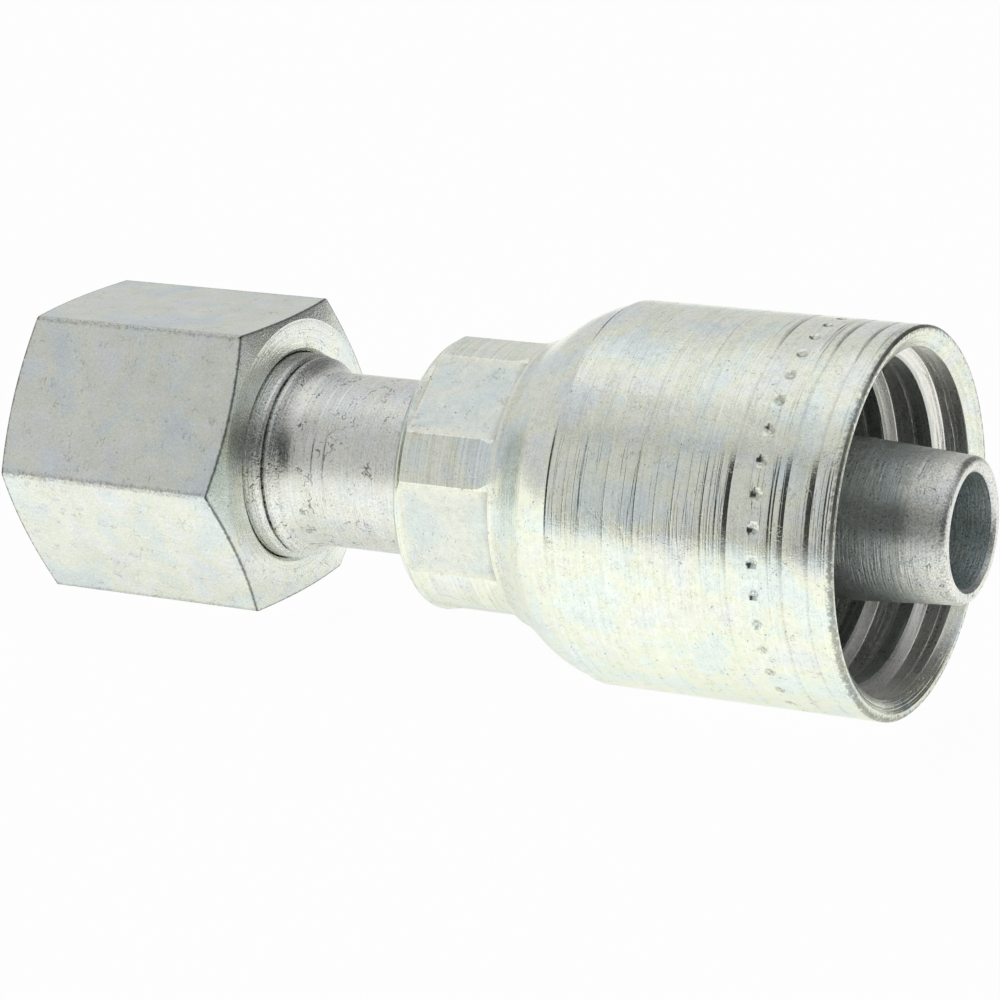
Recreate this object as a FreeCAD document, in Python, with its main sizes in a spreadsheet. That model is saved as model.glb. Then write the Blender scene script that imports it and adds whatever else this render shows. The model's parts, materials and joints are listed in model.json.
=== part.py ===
import FreeCAD, Part
import math
import os

import Sketcher

# A straight crimp hose fitting with a swivel nut, in millimetres.
# Each piece is modelled along its own X axis, the axis of the fitting. Stations along it are counted from
# the nut's front face and grow towards the mouth of the shell, where the hose goes in. Depths are counted
# back from that mouth. The finished fitting lies on its nut and its barrel, as it rests on a table.

SIZES = {
    # radii of the stem, each counted outwards from the bore
    "stem_bore_d": 9.15,
    "nipple_wall": 1.825,
    "seat_step": 0.88,
    "ring_step": 1.37,
    "ring_play": 0.1,
    "head_shoulder": 0.6,
    # radii of the nut, counted outwards from the stem's head
    "head_play": 0.175,
    "nut_wall": 2.375,
    "relief_depth": 0.925,
    "nut_mouth_chamfer": 0.975,
    "nut_back_edge": 0.3,
    "nut_face_step": 0.4,
    "nut_chamfer_angle": 17.0,
    # lengths of the nut and of the head inside it
    "thread_depth": 11.6,
    "head_setback": 0.2,
    "head_length": 3.4,
    "head_edge": 0.3,
    "shoulder_play": 0.1,
    "nut_back_length": 5.65,
    # end of the swivel ring, behind the nut
    "ring_overhang": 0.75,
    "ring_edge": 0.2,
    "ring_groove_width": 0.4,
    "ring_groove_depth": 0.4,
    "ring_lip_width": 0.2,
    "ring_lip_height": 0.12,
    # neck between the nut and the shell
    "neck_length": 15.35,
    "neck_cone_angle": 50.0,
    "neck_fillet": 2.6,
    # collar of the shell, with its six wrench flats
    "collar_wall": 3.97,
    "collar_length": 8.78,
    "collar_edge": 0.35,
    "collar_rim": 0.7,
    "flat_depth": 0.75,
    "flats_short_of_shoulder": 0.28,
    "collar_flats_turn": 6.0,
    # shoulder between the collar and the barrel
    "shoulder_angle": 35.0,
    "shoulder_fillet": 6.0,
    "shoulder_round": 10.0,
    # barrel, whose wall and teeth are counted inwards from its outside
    "barrel_d": 31.14,
    "barrel_wall": 1.42,
    "tooth_height": 1.12,
    "barrel_length": 24.1,
    "barrel_overlap": 1.9,
    "barrel_end_step": 0.25,
    "mouth_edge": 0.25,
    # lip at the mouth and teeth that grip the hose
    "bevel_depth": 0.75,
    "bevel_height": 0.55,
    "lip_height": 0.33,
    "lip_length": 0.9,
    "tooth_count": 4,
    "first_tooth_depth": 4.3,
    "tooth_pitch": 4.16,
    "tooth_crest": 0.75,
    "tooth_front_run": 0.6,
    # closed end of the hose pocket, and the stem's seat in the collar
    "seat_length": 11.3,
    "seat_overhang": 1.0,
    "pocket_floor_wall": 0.95,
    "pocket_cone_setback": 0.5,
    "pocket_cone_least": 1.0,
    "lock_width": 3.0,
    "lock_depth": 0.8,
    # nipple that goes into the hose
    "nipple_overhang": 5.1,
    "nose_length": 9.0,
    "nose_step": 0.6,
    "nose_edge": 0.5,
    "tip_bore_edge": 0.25,
    "barb_count": 4,
    "first_barb_depth": 10.6,
    "barb_pitch": 3.2,
    "barb_land": 0.4,
    "barb_height": 0.45,
}

# Radii, outwards from the bore to the collar, then inwards from the barrel
BORE_R = "(sizes.stem_bore_d / 2)"
NIPPLE_R = f"({BORE_R} + sizes.nipple_wall)"
NECK_R = f"({NIPPLE_R} + sizes.seat_step)"
RING_R = f"({NECK_R} + sizes.ring_step)"
NUT_BORE_R = f"({RING_R} + sizes.ring_play)"
HEAD_R = f"({NUT_BORE_R} + sizes.head_shoulder)"
THREAD_R = f"({HEAD_R} + sizes.head_play)"
NUT_FLAT_R = f"({THREAD_R} + sizes.nut_wall)"
NUT_FACE_R = f"({NUT_FLAT_R} - sizes.nut_face_step)"
COLLAR_R = f"({NECK_R} + sizes.collar_wall)"
BARREL_R = "(sizes.barrel_d / 2)"
TOOTH_ROOT_R = f"({BARREL_R} - sizes.barrel_wall)"
TOOTH_CREST_R = f"({TOOTH_ROOT_R} - sizes.tooth_height)"
LIP_R = f"({TOOTH_ROOT_R} - sizes.lip_height)"

# A round of the shoulder takes up at most its share of the cone between collar and barrel
SHOULDER_SLANT = f"(({BARREL_R} - {COLLAR_R}) / sin(sizes.shoulder_angle))"
HALF_TURN = "tan(sizes.shoulder_angle / 2)"
SHOULDER_ROUND = f"min(sizes.shoulder_round; 0.6 * {SHOULDER_SLANT} / {HALF_TURN})"
SHOULDER_FILLET = f"min(sizes.shoulder_fillet; 0.35 * {SHOULDER_SLANT} / {HALF_TURN})"

# Stations, from the nut's front face towards the mouth
HEAD_FRONT = "(sizes.thread_depth + sizes.head_setback)"
HEAD_BACK = f"({HEAD_FRONT} + sizes.head_length)"
NUT_SHOULDER = f"({HEAD_BACK} + {HEAD_R} - {THREAD_R} + sizes.shoulder_play)"
NUT_SHOULDER_END = f"({NUT_SHOULDER} + {THREAD_R} - {NUT_BORE_R})"
NUT_BACK = f"({NUT_SHOULDER_END} + sizes.nut_back_length)"
RING_BACK = f"({NUT_BACK} + sizes.ring_overhang)"
COLLAR_FRONT = f"({NUT_BACK} + sizes.neck_length)"
COLLAR_END = f"({COLLAR_FRONT} + sizes.collar_length)"
SHOULDER_TOP = f"({COLLAR_END} + ({BARREL_R} - {COLLAR_R}) / tan(sizes.shoulder_angle))"
SHOULDER_CREST = f"({SHOULDER_TOP} + {SHOULDER_ROUND} * {HALF_TURN})"
BARREL_END = f"({SHOULDER_CREST} - sizes.barrel_overlap)"
MOUTH = f"({BARREL_END} + sizes.barrel_length)"
POCKET_FLOOR = f"({COLLAR_FRONT} + sizes.seat_length)"
POCKET_FLOOR_R = f"({COLLAR_R} - sizes.pocket_floor_wall)"
POCKET_CONE = f"max({BARREL_END} - sizes.pocket_cone_setback; {POCKET_FLOOR} + sizes.pocket_cone_least)"
SEAT_END = f"({POCKET_FLOOR} + sizes.seat_overhang)"
TIP = f"({MOUTH} + sizes.nipple_overhang)"

TOLERANCE = 1e-4


def make_sheet(document):
    """The table of driving sizes, one named cell for each."""
    sheet = document.addObject("Spreadsheet::Sheet", "sizes")
    for row, (name, value) in enumerate(SIZES.items(), start=1):
        sheet.set(f"A{row}", name)
        sheet.set(f"B{row}", str(value))
        sheet.setAlias(f"B{row}", name)
    document.recompute()
    return sheet


def make_body(document, name):
    body = document.addObject("PartDesign::Body", name)
    body.Label = name
    return body


def origin_plane(body, role):
    for feature in body.Origin.OriginFeatures:
        if feature.Role == role:
            return feature
    raise RuntimeError(f"{body.Label} has no {role}")


def bind_point(sketch, line, name, axis_kind, axis, formula):
    """Hold the start of a line at a distance from one axis of the sketch, or on the axis itself."""
    if formula == "0":
        sketch.addConstraint(Sketcher.Constraint("PointOnObject", line, 1, axis))
        return
    distance = 1.0 + line
    index = sketch.addConstraint(Sketcher.Constraint(axis_kind, line, 1, distance))
    sketch.renameConstraint(index, name)
    sketch.setExpression(f"Constraints.{name}", formula)


def outline(body, name, corners):
    """A closed sketch in the plane of the axis, with each corner's station and radius bound to formulas."""
    sketch = body.newObject("Sketcher::SketchObject", name)
    sketch.AttachmentSupport = [(origin_plane(body, "XY_Plane"), "")]
    sketch.MapMode = "FlatFace"
    count = len(corners)
    loop = [FreeCAD.Vector(count * math.cos(2 * math.pi * i / count) + 2 * count,
                           count * math.sin(2 * math.pi * i / count) + 2 * count, 0) for i in range(count)]
    for i in range(count):
        sketch.addGeometry(Part.LineSegment(loop[i], loop[(i + 1) % count]), False)
    for i in range(count):
        sketch.addConstraint(Sketcher.Constraint("Coincident", i, 2, (i + 1) % count, 1))
    for i, (corner, (station, radius)) in enumerate(corners.items()):
        bind_point(sketch, i, f"{corner}_station", "DistanceX", -2, station)
        bind_point(sketch, i, f"{corner}_radius", "DistanceY", -1, radius)
    body.Document.recompute()
    return sketch


def turn(body, name, kind, corners):
    """A full turn of an outline about the axis, which adds or removes what it sweeps."""
    sketch = outline(body, f"{name}_outline", corners)
    feature = body.newObject(kind, name)
    feature.Profile = sketch
    feature.ReferenceAxis = (sketch, ["H_Axis"])
    feature.Angle = 360
    body.Document.recompute()
    return feature


def turned(body, name, corners):
    return turn(body, name, "PartDesign::Revolution", corners)


def grooved(body, name, corners):
    return checked_cut(turn(body, name, "PartDesign::Groove", corners))


def checked_cut(feature):
    """A cut that removed nothing points the wrong way."""
    if feature.Shape.Volume > feature.BaseFeature.Shape.Volume - TOLERANCE:
        raise RuntimeError(f"{feature.Label} removed nothing")
    return feature


def corner_point(feature, corner):
    """Where a named corner of a turned feature's outline lies: its station and its radius."""
    sketch = feature.Profile[0]
    names = [constraint.Name for constraint in sketch.Constraints]
    station = sketch.Constraints[names.index(f"{corner}_station")].Value
    radius = sketch.Constraints[names.index(f"{corner}_radius")].Value
    return station, radius


def edge_at(solid, station, radius):
    """The name of the round edge of a solid with this station and radius."""
    for number, edge in enumerate(solid.Shape.Edges, start=1):
        if not isinstance(edge.Curve, Part.Circle):
            continue
        off_station = abs(edge.Curve.Center.x - station)
        off_radius = abs(edge.Curve.Radius - radius)
        if max(off_station, off_radius) < TOLERANCE:
            return f"Edge{number}"
    raise RuntimeError(f"no round edge at {station:.3f} with radius {radius:.3f}")


def dress_edge(body, name, kind, turned_feature, corner, size_property, formula):
    """A fillet or a chamfer along the round edge that a corner of an outline made."""
    solid = body.Tip
    edge = edge_at(solid, *corner_point(turned_feature, corner))
    feature = body.newObject(kind, name)
    feature.Base = (solid, [edge])
    feature.setExpression(size_property, formula)
    body.Document.recompute()
    return feature


def fillet(body, name, turned_feature, corner, formula):
    return dress_edge(body, name, "PartDesign::Fillet", turned_feature, corner, "Radius", formula)


def chamfer(body, name, turned_feature, corner, formula):
    return dress_edge(body, name, "PartDesign::Chamfer", turned_feature, corner, "Size", formula)


def repeat_along_axis(body, name, feature, count, pitch_formula):
    """Copies of a cut in a row along the axis, towards the nut."""
    pattern = body.newObject("PartDesign::LinearPattern", name)
    pattern.Originals = [feature]
    pattern.Direction = (feature.Profile[0], ["H_Axis"])
    pattern.Reversed = True
    pattern.setExpression("Length", f"({count} - 1) * {pitch_formula}")
    pattern.Occurrences = count
    body.Tip = pattern
    body.Document.recompute()
    if pattern.Shape.Volume > feature.Shape.Volume - TOLERANCE:
        raise RuntimeError(f"{name} repeated nothing")
    return pattern


def round_line(radius):
    """A circle round the axis, for a sketch across it."""
    return Part.Circle(FreeCAD.Vector(0, 0, 0), FreeCAD.Vector(0, 0, 1), radius)


def hexagon(body, name, flat_formula, turn_formula, station_formula):
    """A sketch across the axis with a hexagon, given by its distance from axis to flat and its turn."""
    sketch = body.newObject("Sketcher::SketchObject", name)
    sketch.AttachmentSupport = [(origin_plane(body, "YZ_Plane"), "")]
    sketch.MapMode = "FlatFace"
    sketch.setExpression("AttachmentOffset.Base.z", station_formula)
    sketch.setExpression("AttachmentOffset.Rotation.Angle", turn_formula)
    start_r = SIZES["barrel_d"] / 3
    sixths = [math.radians(60 * i) for i in range(6)]
    corners = [FreeCAD.Vector(start_r * math.cos(turn), start_r * math.sin(turn), 0) for turn in sixths]
    for i in range(6):
        sketch.addGeometry(Part.LineSegment(corners[i], corners[(i + 1) % 6]), False)
    circle = sketch.addGeometry(round_line(start_r), True)
    sketch.addConstraint(Sketcher.Constraint("Coincident", circle, 3, -1, 1))
    for i in range(6):
        sketch.addConstraint(Sketcher.Constraint("Coincident", i, 2, (i + 1) % 6, 1))
        sketch.addConstraint(Sketcher.Constraint("PointOnObject", i, 1, circle))
    for i in range(1, 6):
        sketch.addConstraint(Sketcher.Constraint("Equal", 0, i))
    sketch.addConstraint(Sketcher.Constraint("PointOnObject", 0, 1, -1))
    across = sketch.addConstraint(Sketcher.Constraint("Diameter", circle, 2 * start_r))
    sketch.renameConstraint(across, "across_corners")
    sketch.setExpression("Constraints.across_corners", f"2 * {flat_formula} / cos(30)")
    body.Document.recompute()
    return sketch


def build_nut(document):
    """Hexagon bar, chamfered round both ends, with a tapped mouth and a bearing shoulder at the back."""
    body = make_body(document, "swivel_nut")
    bar = body.newObject("PartDesign::Pad", "bar")
    bar.Profile = hexagon(body, "bar_hexagon", NUT_FLAT_R, "0", "0")
    bar.setExpression("Length", NUT_BACK)
    document.recompute()

    beyond = f"(2 * {NUT_FLAT_R})"
    run = f"({beyond} - {NUT_FACE_R}) * tan(sizes.nut_chamfer_angle)"
    grooved(body, "front_corners", {
        "face": ("0", NUT_FACE_R),
        "outside": ("0", beyond),
        "side": (run, beyond),
    })
    grooved(body, "back_corners", {
        "face": (NUT_BACK, NUT_FACE_R),
        "outside": (NUT_BACK, beyond),
        "side": (f"{NUT_BACK} - {run}", beyond),
    })

    relief_r = f"{THREAD_R} + sizes.relief_depth"
    grooved(body, "bore", {
        "axis_front": ("0", "0"),
        "mouth": ("0", f"{THREAD_R} + sizes.nut_mouth_chamfer"),
        "thread_start": ("sizes.nut_mouth_chamfer", THREAD_R),
        "thread_end": ("sizes.thread_depth", THREAD_R),
        "relief_start": ("sizes.thread_depth", relief_r),
        "relief_end": (NUT_SHOULDER, relief_r),
        "shoulder_start": (NUT_SHOULDER, THREAD_R),
        "shoulder_end": (NUT_SHOULDER_END, NUT_BORE_R),
        "back_edge_start": (f"{NUT_BACK} - sizes.nut_back_edge", NUT_BORE_R),
        "back_edge_end": (NUT_BACK, f"{NUT_BORE_R} + sizes.nut_back_edge"),
        "axis_back": (NUT_BACK, "0"),
    })
    return body


def lock_corners():
    """The swaged lock that collar and stem share, half way along the seat: from the nut side to the mouth."""
    centre = f"({COLLAR_FRONT} + {POCKET_FLOOR}) / 2"
    start = f"{centre} - sizes.lock_width / 2"
    end = f"{centre} + sizes.lock_width / 2"
    floor = f"{NECK_R} - sizes.lock_depth"
    return {
        "lock_start": (start, NECK_R),
        "lock_floor_start": (start, floor),
        "lock_floor_end": (end, floor),
        "lock_end": (end, NECK_R),
    }


def build_stem(document):
    """The turned stem: sealing head, swivel ring, neck, seat for the collar and nipple, bored through."""
    body = make_body(document, "hose_stem")
    groove_r = f"{RING_R} - sizes.ring_groove_depth"
    lip_r = f"{groove_r} + sizes.ring_lip_height"
    lip_start = f"{RING_BACK} + sizes.ring_groove_width"
    lip_end = f"{lip_start} + sizes.ring_lip_width"
    stem = turned(body, "stem", {
        "bore_front": (HEAD_FRONT, BORE_R),
        "head_front": (HEAD_FRONT, HEAD_R),
        "head_back": (HEAD_BACK, HEAD_R),
        "ring_front": (f"{HEAD_BACK} + {HEAD_R} - {RING_R}", RING_R),
        "ring_back": (RING_BACK, RING_R),
        "groove_start": (RING_BACK, groove_r),
        "groove_end": (lip_start, groove_r),
        "lip_start": (lip_start, lip_r),
        "lip_end": (lip_end, lip_r),
        "neck_start": (f"{lip_end} + ({lip_r} - {NECK_R}) / tan(sizes.neck_cone_angle)", NECK_R),
        **lock_corners(),
        "seat_end": (SEAT_END, NECK_R),
        "nipple_start": (SEAT_END, NIPPLE_R),
        "nose_start": (f"{TIP} - sizes.nose_length", NIPPLE_R),
        "tip_outside": (TIP, f"{NIPPLE_R} - sizes.nose_step"),
        "tip_bore": (TIP, BORE_R),
    })

    first_barb = f"({MOUTH} - sizes.first_barb_depth)"
    barb = grooved(body, "barb", {
        "crest": (first_barb, NIPPLE_R),
        "root": (first_barb, f"{NIPPLE_R} - sizes.barb_height"),
        "run_out": (f"{first_barb} - sizes.barb_pitch + sizes.barb_land", NIPPLE_R),
        "above": (f"{first_barb} - sizes.barb_pitch / 2", f"{NIPPLE_R} + sizes.barb_height"),
    })
    repeat_along_axis(body, "barbs", barb, SIZES["barb_count"], "sizes.barb_pitch")

    lip_height = f"({lip_r} - {NECK_R})"
    cone_slant = f"{lip_height} / sin(sizes.neck_cone_angle)"
    neck_fillet = f"min(sizes.neck_fillet; 0.9 * {cone_slant} / tan(sizes.neck_cone_angle / 2))"
    fillet(body, "neck_fillet", stem, "neck_start", neck_fillet)
    chamfer(body, "nose_edge", stem, "tip_outside", "sizes.nose_edge")
    chamfer(body, "tip_bore_edge", stem, "tip_bore", "sizes.tip_bore_edge")
    chamfer(body, "ring_edge", stem, "ring_back", "sizes.ring_edge")
    chamfer(body, "head_edge", stem, "head_front", "sizes.head_edge")
    return body


def build_shell(document):
    """The turned crimp shell: barrel with teeth inside, shoulder, and a collar with six flats."""
    body = make_body(document, "crimp_shell")
    lip_start = f"{MOUTH} - sizes.bevel_depth"
    lip_end = f"{lip_start} - sizes.lip_length"
    first_crest = f"({MOUTH} - sizes.first_tooth_depth)"
    lock = lock_corners()
    shell = turned(body, "shell", {
        "collar_front": (COLLAR_FRONT, COLLAR_R),
        "collar_end": (COLLAR_END, COLLAR_R),
        "shoulder_top": (SHOULDER_TOP, BARREL_R),
        "mouth_outside": (MOUTH, BARREL_R),
        "mouth_inside": (MOUTH, f"{LIP_R} + sizes.bevel_height"),
        "lip_start": (lip_start, LIP_R),
        "lip_end": (lip_end, LIP_R),
        "first_root_start": (lip_end, TOOTH_ROOT_R),
        "first_root_end": (f"{first_crest} + sizes.tooth_crest + sizes.tooth_front_run", TOOTH_ROOT_R),
        "first_crest": (f"{first_crest} + sizes.tooth_crest", TOOTH_CREST_R),
        "pocket_cone": (POCKET_CONE, TOOTH_CREST_R),
        "pocket_floor": (POCKET_FLOOR, POCKET_FLOOR_R),
        "seat_mouth": (POCKET_FLOOR, NECK_R),
        **{name: lock[name] for name in reversed(lock)},
        "collar_bore": (COLLAR_FRONT, NECK_R),
    })

    next_crest = f"({first_crest} - sizes.tooth_pitch + sizes.tooth_crest)"
    tooth_gap = grooved(body, "tooth_gap", {
        "crest_end": (first_crest, TOOTH_CREST_R),
        "root_start": (first_crest, TOOTH_ROOT_R),
        "root_end": (f"{next_crest} + sizes.tooth_front_run", TOOTH_ROOT_R),
        "crest_start": (next_crest, TOOTH_CREST_R),
        "inside": (f"({first_crest} + {next_crest}) / 2", f"{TOOTH_CREST_R} - sizes.tooth_height"),
    })
    repeat_along_axis(body, "tooth_gaps", tooth_gap, SIZES["tooth_count"] - 1, "sizes.tooth_pitch")

    fillet(body, "shoulder_round", shell, "shoulder_top", SHOULDER_ROUND)
    fillet(body, "shoulder_fillet", shell, "collar_end", SHOULDER_FILLET)
    under_barrel = f"{BARREL_R} - sizes.barrel_wall / 2"
    over_crest = f"{SHOULDER_CREST} + sizes.barrel_overlap / 2"
    step_end = f"{BARREL_END} - sizes.barrel_end_step"
    turned(body, "barrel_end", {
        "edge": (BARREL_END, BARREL_R),
        "crest": (over_crest, BARREL_R),
        "under_crest": (over_crest, under_barrel),
        "under_step": (step_end, under_barrel),
        "step": (step_end, f"{BARREL_R} - sizes.barrel_end_step"),
    })
    chamfer(body, "mouth_edge", shell, "mouth_outside", "sizes.mouth_edge")
    chamfer(body, "collar_edge", shell, "collar_front", "sizes.collar_edge")
    mill_flats(body)
    return body


def mill_flats(body):
    """The six wrench flats, cut from behind the collar's round rim to just short of the shoulder."""
    outline_of_flats = hexagon(body, "flats_outline", f"({COLLAR_R} - sizes.flat_depth)",
                               "sizes.collar_flats_turn + 30", f"({COLLAR_FRONT} + sizes.collar_rim)")
    start_r = SIZES["barrel_d"]
    stock = outline_of_flats.addGeometry(round_line(start_r), False)
    outline_of_flats.addConstraint(Sketcher.Constraint("Coincident", stock, 3, -1, 1))
    across = outline_of_flats.addConstraint(Sketcher.Constraint("Diameter", stock, 2 * start_r))
    outline_of_flats.renameConstraint(across, "stock")
    outline_of_flats.setExpression("Constraints.stock", f"3 * {COLLAR_R}")
    milled = body.newObject("PartDesign::Pocket", "collar_flats")
    milled.Profile = outline_of_flats
    milled.setExpression("Length", "sizes.collar_length - sizes.flats_short_of_shoulder - sizes.collar_rim")
    milled.Reversed = True
    body.Document.recompute()
    return checked_cut(milled)


def resting_placement(nut, stem, shell):
    """The fitting lies with a flat of the nut and the end of the barrel on the table, mouth end raised."""
    flat_r = nut.getObject("bar").Shape.BoundBox.ZMax
    face_r = corner_point(nut.getObject("back_corners"), "face")[1]
    flat_station = (flat_r - face_r) * math.tan(math.radians(SIZES["nut_chamfer_angle"]))
    barrel_station, barrel_r = corner_point(shell.getObject("barrel_end"), "edge")
    tilt = math.atan((barrel_r - flat_r) / (barrel_station - flat_station))
    lift = flat_r * math.cos(tilt) - flat_station * math.sin(tilt)
    tip_station, nose_r = corner_point(stem.getObject("stem"), "tip_outside")
    lowest_x = -face_r * math.sin(tilt)
    highest_x = tip_station * math.cos(tilt) + (nose_r - SIZES["nose_edge"]) * math.sin(tilt)
    base = FreeCAD.Vector(-(lowest_x + highest_x) / 2, 0, lift)
    return FreeCAD.Placement(base, FreeCAD.Rotation(FreeCAD.Vector(0, 1, 0), -math.degrees(tilt)))


def check_document(document, bodies):
    for item in document.Objects:
        if {"Invalid", "Error"} & set(item.State):
            raise RuntimeError(f"{item.Label} did not build: {item.State}")
    for body in bodies:
        if body.Shape.isNull() or not body.Shape.isValid() or len(body.Shape.Solids) != 1:
            raise RuntimeError(f"{body.Label} is not one sound solid")


def main():
    document = FreeCAD.newDocument("crimp_hose_fitting")
    make_sheet(document)
    bodies = [build_nut(document), build_stem(document), build_shell(document)]
    placement = resting_placement(*bodies)
    for body in bodies:
        body.Placement = placement
    document.recompute()
    check_document(document, bodies)
    os.makedirs("parts", exist_ok=True)
    for body in bodies:
        body.Shape.exportStep(f"parts/{body.Label}.step")
        box = body.Shape.BoundBox
        print(f"{body.Label}: volume {body.Shape.Volume:.1f}, x {box.XMin:.2f} to {box.XMax:.2f}, "
              f"y {box.YMin:.2f} to {box.YMax:.2f}, z {box.ZMin:.2f} to {box.ZMax:.2f}")
    print(f"tilt {math.degrees(placement.Rotation.Angle):.3f}, base {placement.Base}")


main()
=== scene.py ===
import json
import math

import bmesh
import bpy
from mathutils import Matrix, Vector


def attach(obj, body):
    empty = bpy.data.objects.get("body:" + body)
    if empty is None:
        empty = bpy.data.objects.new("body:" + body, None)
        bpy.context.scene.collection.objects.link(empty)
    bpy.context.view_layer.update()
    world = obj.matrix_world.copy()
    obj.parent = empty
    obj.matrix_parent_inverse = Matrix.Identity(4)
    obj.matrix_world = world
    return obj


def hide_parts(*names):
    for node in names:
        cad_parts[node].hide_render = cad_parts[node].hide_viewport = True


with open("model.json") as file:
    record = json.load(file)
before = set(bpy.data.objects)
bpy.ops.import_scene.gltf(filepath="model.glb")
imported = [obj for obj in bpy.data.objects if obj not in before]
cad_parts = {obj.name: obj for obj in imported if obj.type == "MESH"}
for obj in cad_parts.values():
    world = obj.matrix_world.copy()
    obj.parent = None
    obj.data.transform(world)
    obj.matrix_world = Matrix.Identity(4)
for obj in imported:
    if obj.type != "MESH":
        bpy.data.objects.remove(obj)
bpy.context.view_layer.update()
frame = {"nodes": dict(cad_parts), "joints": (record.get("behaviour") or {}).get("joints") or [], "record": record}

# A crimp hose fitting, lying on its nut and its barrel. Every piece is turned and milled along the axis of
# the fitting, then laid in its place. Lengths and radii are in millimetres until a mesh is finished.
MM = 0.001
ACROSS = Vector((0, 1, 0))
JOINT = frame["joints"][0]
AXIS = Vector(JOINT["axis"])
UP = AXIS.cross(ACROSS)
TILT = math.atan2(AXIS.z, AXIS.x)
MOUNTS = {mount["name"]: mount for mount in frame["record"]["mounts"]}


def reach(node):
    """First and last station of a CAD node, from the nut's middle, and its greatest radius."""
    middle = Vector(JOINT["pos_m"])
    points = [(vertex.co - middle) / MM for vertex in frame["nodes"][node].data.vertices]
    stations = [point.dot(AXIS) for point in points]
    radii = [(point - station * AXIS).length for point, station in zip(points, stations)]
    return min(stations), max(stations), max(radii)


def mount_radius(name):
    return MOUNTS[name]["dims"]["r_mm"]


# Stations are counted from the nut's front face towards the mouth of the shell
NUT_FRONT, NUT_END, NUT_CORNER_R = reach("swivel_nut")
STEM_FRONT, STEM_END, HEAD_R = reach("hose_stem")
SHELL_FRONT, SHELL_END, BARREL_R = reach("crimp_shell")
NUT_LENGTH = NUT_END - NUT_FRONT
HEAD_FRONT = STEM_FRONT - NUT_FRONT
TIP = STEM_END - NUT_FRONT
COLLAR_FRONT = SHELL_FRONT - NUT_FRONT
MOUTH = SHELL_END - NUT_FRONT
ORIGIN = Vector(JOINT["pos_m"]) + AXIS * NUT_FRONT * MM
PLACE = Matrix.Translation(ORIGIN) @ Matrix((AXIS, ACROSS, UP)).transposed().to_4x4()
BORE_R = mount_radius("fluid_bore")
NIPPLE_R = mount_radius("hose_nipple")
THREAD_MINOR_R = mount_radius("nut_thread")

# Nut
SIXTH = math.radians(60)
NUT_FLAT_R = NUT_CORNER_R * math.cos(SIXTH / 2)
NUT_FACE_R = NUT_FLAT_R - 0.4
NUT_CHAMFER = math.tan(math.radians(17))
NUT_CORNER_ROUND = 0.35
THREAD_PITCH = 25.4 / 16
THREAD_DEPTH = 0.795
THREAD_END = HEAD_FRONT - 0.2
RELIEF_R = THREAD_MINOR_R + 0.925
MOUTH_CHAMFER = 0.975
NUT_BACK_EDGE = 0.3

# Stem
RING_R = 8.65
RING_BACK = NUT_LENGTH + 1.35
RING_ROUND = 0.48
RING_GROOVE_R = RING_R - 0.5
RING_LIP_R = RING_GROOVE_R + 0.22
RING_LIP_START = RING_BACK + 0.22
RING_LIP_END = RING_LIP_START + 0.4
NUT_BORE_R = RING_R + 0.1
HEAD_BACK = HEAD_FRONT + 3.4
HEAD_EDGE = 0.3
NECK_R = 7.28
NECK_CONE = math.radians(50)
NECK_FILLET = 2.2
LOCK_DEPTH = 0.8
LOCK_WIDTH = 3.0
BARBS = 4
LAST_BARB = MOUTH - 10.6
BARB_HEIGHT = 0.45
BARB_LAND = 0.4
BARB_PITCH = 3.2
NOSE_LENGTH = 9.0
NOSE_STEP = 0.6
TIP_CHAMFER = 0.32

# Shell. The photo shows the collar as a hexagon with turned lands, a little wider than its round rim
COLLAR_R = 11.25
COLLAR_END = COLLAR_FRONT + 8.78
COLLAR_EDGE = 0.35
LAND_R = COLLAR_R + 0.35
FLAT_R = COLLAR_R - 0.35
FLATS_START = COLLAR_FRONT + 0.5
FLATS_END = COLLAR_END + 0.35
FLATS_TURN = math.radians(7.5)
FLAT_WALL = 0.3
RIM_WALL = 0.45
SHOULDER_SLOPE = math.tan(math.radians(35))
SHOULDER_TOP = COLLAR_END + (BARREL_R - COLLAR_R) / SHOULDER_SLOPE
SHOULDER_FILLET = 6
SHOULDER_ROUND = 10
BARREL_END = MOUTH - 24.1
BARREL_EDGE = 0.2
TOOTH_ROOT_R = BARREL_R - 1.42
TOOTH_CREST_R = TOOTH_ROOT_R - 1.12
LIP_R = TOOTH_ROOT_R - 0.33
MOUTH_EDGE = 0.2
BEVEL_R = BARREL_R - 0.6
BEVEL_DEPTH = 0.75
LIP_END = MOUTH - BEVEL_DEPTH - 0.9
TEETH = 4
TOOTH_PITCH = 4.16
TOOTH_CREST = 1.55
TOOTH_FLANK = 0.6
FIRST_CREST = MOUTH - 5.1
POCKET_FLOOR = COLLAR_FRONT + 11.3
POCKET_R = COLLAR_R - 0.95
SEAT_END = POCKET_FLOOR + 1
LOCK_MIDDLE = (COLLAR_FRONT + POCKET_FLOOR) / 2
LOCK_START = LOCK_MIDDLE - LOCK_WIDTH / 2
LOCK_END = LOCK_MIDDLE + LOCK_WIDTH / 2
DIMPLE_STATION = MOUTH - 6.5
DIMPLE_R = 0.5
DIMPLE_DEPTH = 0.2
DIMPLES = 38
FIRST_DIMPLE = math.radians(111.04)

# Camera, fitted to the photo
VIEW_TURN = math.radians(27.882)
VIEW_RISE = math.radians(18.555)
VIEW_ROLL = math.radians(1.273)
CAMERA_PLACE = Vector((146.36, -276.85, 117.87)) * MM
LENS_IN_PIXELS = 4022
PICTURE = 1000

# Ways from the fitting: to the far edge of the light table, to the side of the camera where the dark of
# the room begins, and to the dim corner of the room behind
TABLE_EDGE = Vector((0.385, -0.923, 0))
DARK_SIDE = Vector((0.926, -0.377, 0))
DIM_CORNER = Vector((0.38, 0.80, 0.47))

FLOOR_R = 1200 * MM

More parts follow.
